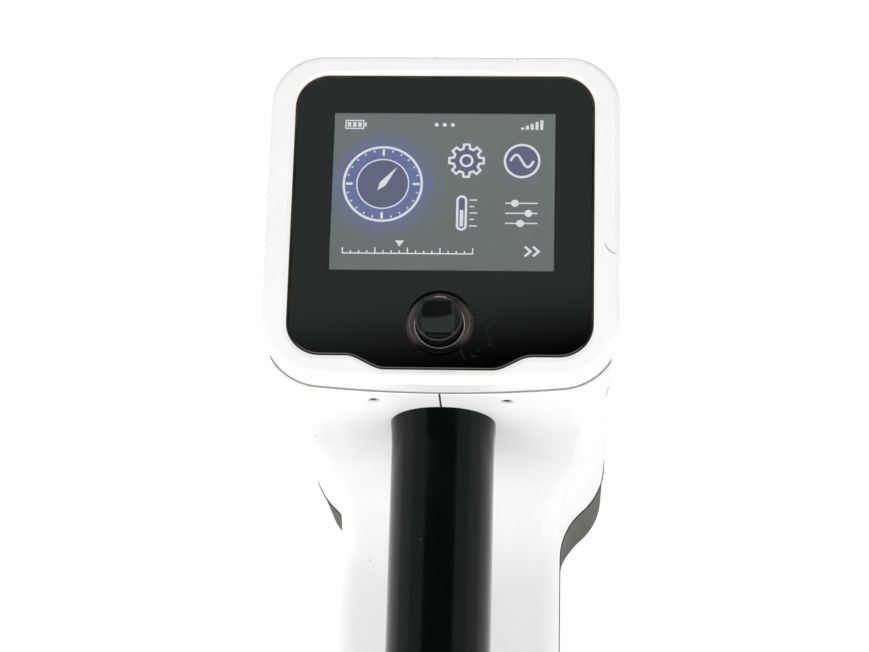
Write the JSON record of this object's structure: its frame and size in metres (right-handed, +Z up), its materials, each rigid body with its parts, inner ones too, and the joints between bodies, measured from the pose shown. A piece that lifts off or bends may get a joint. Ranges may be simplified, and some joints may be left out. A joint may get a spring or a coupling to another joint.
{
  "type": "drill tracking receiver",
  "caption": "Hand-held underground drill tracking receiver with a lit display head, thumb toggle, grip handle with trigger, and slide-out battery in a grey base.",
  "frame": {"origin": "under the middle of the outline, on the surface the feet stand on", "axes": "+X to the user's right, +Y to the front where the display head is, +Z up"},
  "size_m": [0.1396, 0.381, 0.2794],
  "materials": {
    "white_shell": "satin moulded",
    "grey_base": "fine-textured moulded",
    "black_grip": "smooth overmoulded",
    "dark_seal": "soft",
    "clear_lens": "hard-coated clear",
    "black_mask": "printed backing",
    "brown_seal": "bonding bead",
    "lit_display": "lit panel",
    "light_frame": "moulded",
    "ribbon_amber": "film",
    "board_green": "coated laminate",
    "dark_part": "moulded",
    "steel": "plated",
    "gold_contact": "plated",
    "copper_wire": "enamelled winding",
    "ferrite": "sintered",
    "toggle_black": "polished",
    "window_red": "dark translucent",
    "lead_black": "insulated wire",
    "pack_grey": "moulded",
    "cell_sleeve": "sleeved cell"
  },
  "bodies": {
    "receiver": {"left_shell": "white_shell", "right_shell": "white_shell", "face_frame": "white_shell", "shell_seam_seal": "dark_seal", "head_seal": "dark_seal", "base_seal": "dark_seal", "speaker_seal": "dark_seal", "foot_pads": "dark_seal", "grip": "black_grip", "shell_screws": "steel", "neck_screws": "steel", "board_screws": "steel", "base_screws": "steel", "lens": "clear_lens", "lens_mask": "black_mask", "lens_seal": "brown_seal", "display_panel": "lit_display", "backlight_frame": "light_frame", "display_ribbon": "ribbon_amber", "main_board": "board_green", "signal_board": "board_green", "board_chips": "dark_part", "toggle_collar": "toggle_black", "toggle_housing": "dark_part", "trigger_pin": "steel", "trigger_bracket": "dark_part", "trigger_switch": "dark_part", "trigger_spring": "steel", "trigger_lead": "lead_black", "signal_window": "window_red", "signal_lead": "lead_black", "speaker": "dark_part", "speaker_lead": "lead_black", "antenna_mast": "dark_part", "antenna_rod_rising": "ferrite", "antenna_rod_falling": "ferrite", "antenna_rod_cross": "ferrite", "antenna_coil_rising": "copper_wire", "antenna_coil_falling": "copper_wire", "antenna_coil_cross": "copper_wire", "antenna_leads": "lead_black", "base_tub": "grey_base", "battery_bay": "pack_grey", "contact_block": "dark_part", "contact_pins": "gold_contact", "battery_lead": "lead_black"},
    "toggle_gimbal": {"toggle_gimbal": "steel"},
    "toggle_stick": {"toggle_stem": "steel", "toggle_cap": "toggle_black"},
    "trigger": {"trigger": "dark_part"},
    "switch_plunger": {"switch_plunger": "light_frame"},
    "battery": {"battery_case": "pack_grey", "battery_cap": "pack_grey", "battery_cells": "cell_sleeve", "battery_contacts": "gold_contact"}
  },
  "joints": [
    {"name": "toggle_pitch", "type": "hinge", "parent": "receiver", "child": "toggle_gimbal", "pos_m": [0, 0.0784, 0.2598], "axis": [1, 0, 0], "range_deg": [-12, 12], "stiffness_Nm_per_rad": 0.02},
    {"name": "toggle_roll", "type": "hinge", "parent": "toggle_gimbal", "child": "toggle_stick", "pos_m": [0, 0.0784, 0.2598], "axis": [0, 1, 0], "range_deg": [-12, 12], "stiffness_Nm_per_rad": 0.02},
    {"name": "trigger_pull", "type": "hinge", "parent": "receiver", "child": "trigger", "pos_m": [0, 0.039, 0.2062], "axis": [-1, 0, 0], "range_deg": [0, 7], "stiffness_Nm_per_rad": 0.6, "springref_deg": -5.73, "deforming": ["trigger_spring"]},
    {"name": "plunger_travel", "type": "slide", "parent": "receiver", "child": "switch_plunger", "axis": [0, 0, 1], "range_m": [0, 0.0015]},
    {"name": "battery_slide", "type": "slide", "parent": "receiver", "child": "battery", "axis": [0, -1, 0], "range_m": [0, 0.11]}
  ],
  "couplings": [
    {"joint": "plunger_travel", "follows": "trigger_pull", "m_per_rad": 0.012}
  ]
}
